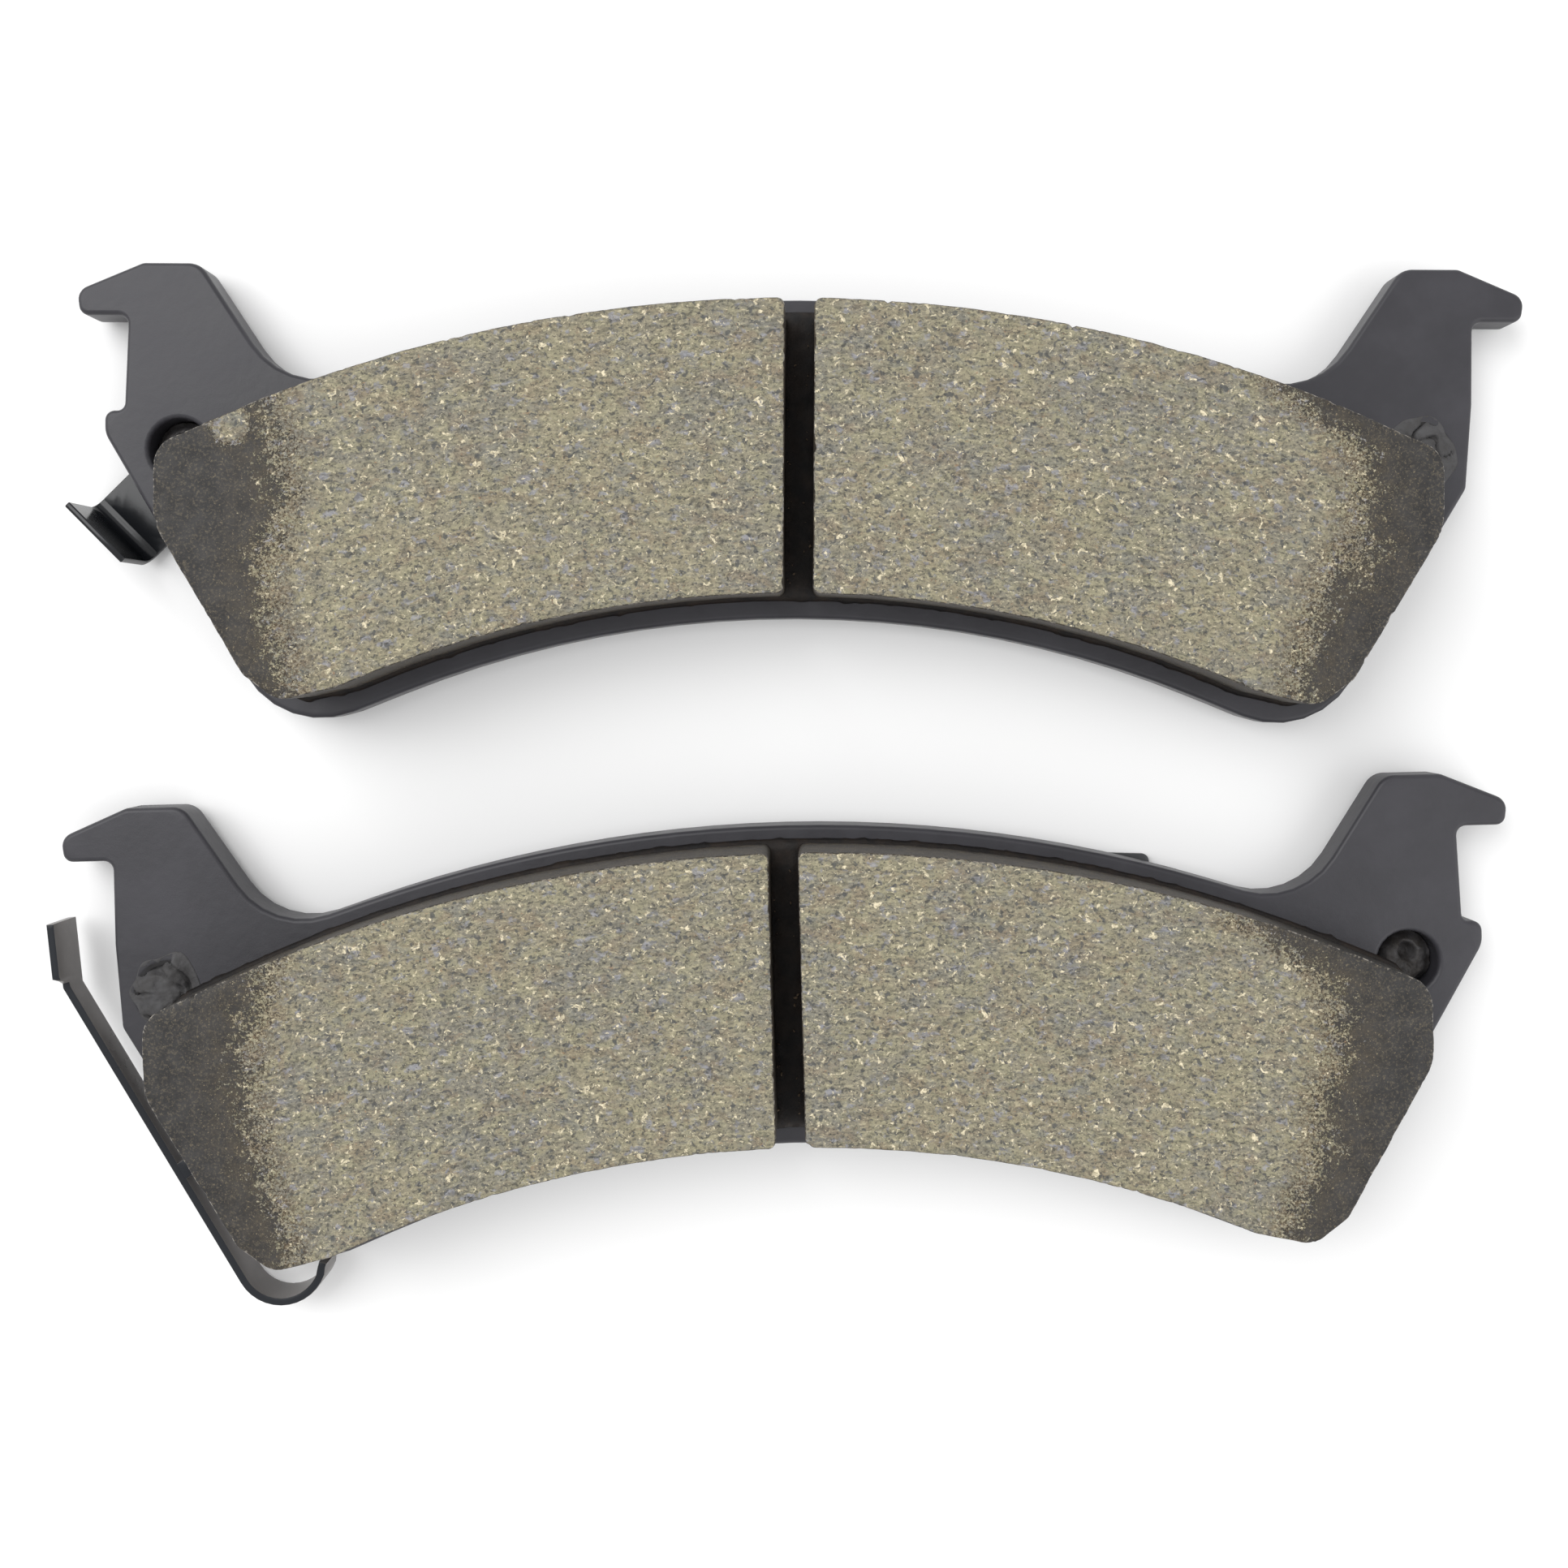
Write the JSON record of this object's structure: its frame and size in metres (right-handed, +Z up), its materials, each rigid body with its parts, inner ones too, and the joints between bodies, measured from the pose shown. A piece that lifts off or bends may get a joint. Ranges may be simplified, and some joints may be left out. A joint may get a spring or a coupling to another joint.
{
  "type": "disc brake pad set",
  "caption": "Matched inner and outer disc brake pads with hooked ears, slotted friction blocks, shims, a wear indicator and a leaf spring, laid with the friction faces up.",
  "frame": {"origin": "centre of the pair's box, on the plane the shims lie on", "axes": "+X along the pads' length, +Y from the outer pad to the inner pad and radially outwards on the rotor, +Z up out of the friction faces"},
  "size_m": [0.1682, 0.1196, 0.0167],
  "materials": {
    "plate_coat": "satin black powder coat",
    "underlayer": "matt moulded underlayer",
    "friction": "ground friction compound, flecked",
    "plug_compound": "rough pressed compound",
    "shim_rubber": "matt rubber layer",
    "shim_steel": "black coated sheet steel",
    "rivet_zinc": "zinc plated",
    "spring_steel": "glossy black coated spring steel"
  },
  "bodies": {
    "inner_pad": {"inner_backing_plate": "plate_coat", "inner_underlayer": "underlayer", "inner_friction_block_left": "friction", "inner_friction_block_right": "friction", "inner_compound_plug_open": "plug_compound", "inner_compound_plug_filled": "plug_compound", "inner_shim_damping_layer": "shim_rubber", "inner_shim_core": "shim_steel", "inner_shim_rivet_left": "rivet_zinc", "inner_shim_rivet_right": "rivet_zinc", "wear_indicator_foot": "spring_steel", "wear_indicator_rivet_1": "rivet_zinc", "wear_indicator_rivet_2": "rivet_zinc"},
    "outer_pad": {"outer_backing_plate": "plate_coat", "outer_underlayer": "underlayer", "outer_friction_block_left": "friction", "outer_friction_block_right": "friction", "outer_compound_plug_open": "plug_compound", "outer_compound_plug_filled": "plug_compound", "outer_shim_damping_layer": "shim_rubber", "outer_shim_core": "shim_steel", "outer_shim_rivet_left": "rivet_zinc", "outer_shim_rivet_right": "rivet_zinc", "leaf_spring_foot": "spring_steel", "leaf_spring_rivet_1": "rivet_zinc", "leaf_spring_rivet_2": "rivet_zinc"},
    "wear_tab": {"wear_indicator_tab": "spring_steel"},
    "leaf_spring": {"leaf_spring_arm": "spring_steel"}
  },
  "joints": [
    {"name": "outer_pad_lift", "type": "slide", "parent": "inner_pad", "child": "outer_pad", "axis": [0, 0, 1], "range_m": [0, 0.03]},
    {"name": "wear_tab_flex", "type": "hinge", "parent": "inner_pad", "child": "wear_tab", "pos_m": [-0.07713, 0.02989, 0.00105], "axis": [0.7034, -0.7108, 0], "range_deg": [-5, 5], "stiffness_Nm_per_rad": 8},
    {"name": "leaf_spring_flex", "type": "hinge", "parent": "outer_pad", "child": "leaf_spring", "pos_m": [-0.05335, -0.05498, 0.0014], "axis": [0, 0, 1], "range_deg": [-3.5, 2], "stiffness_Nm_per_rad": 5}
  ]
}
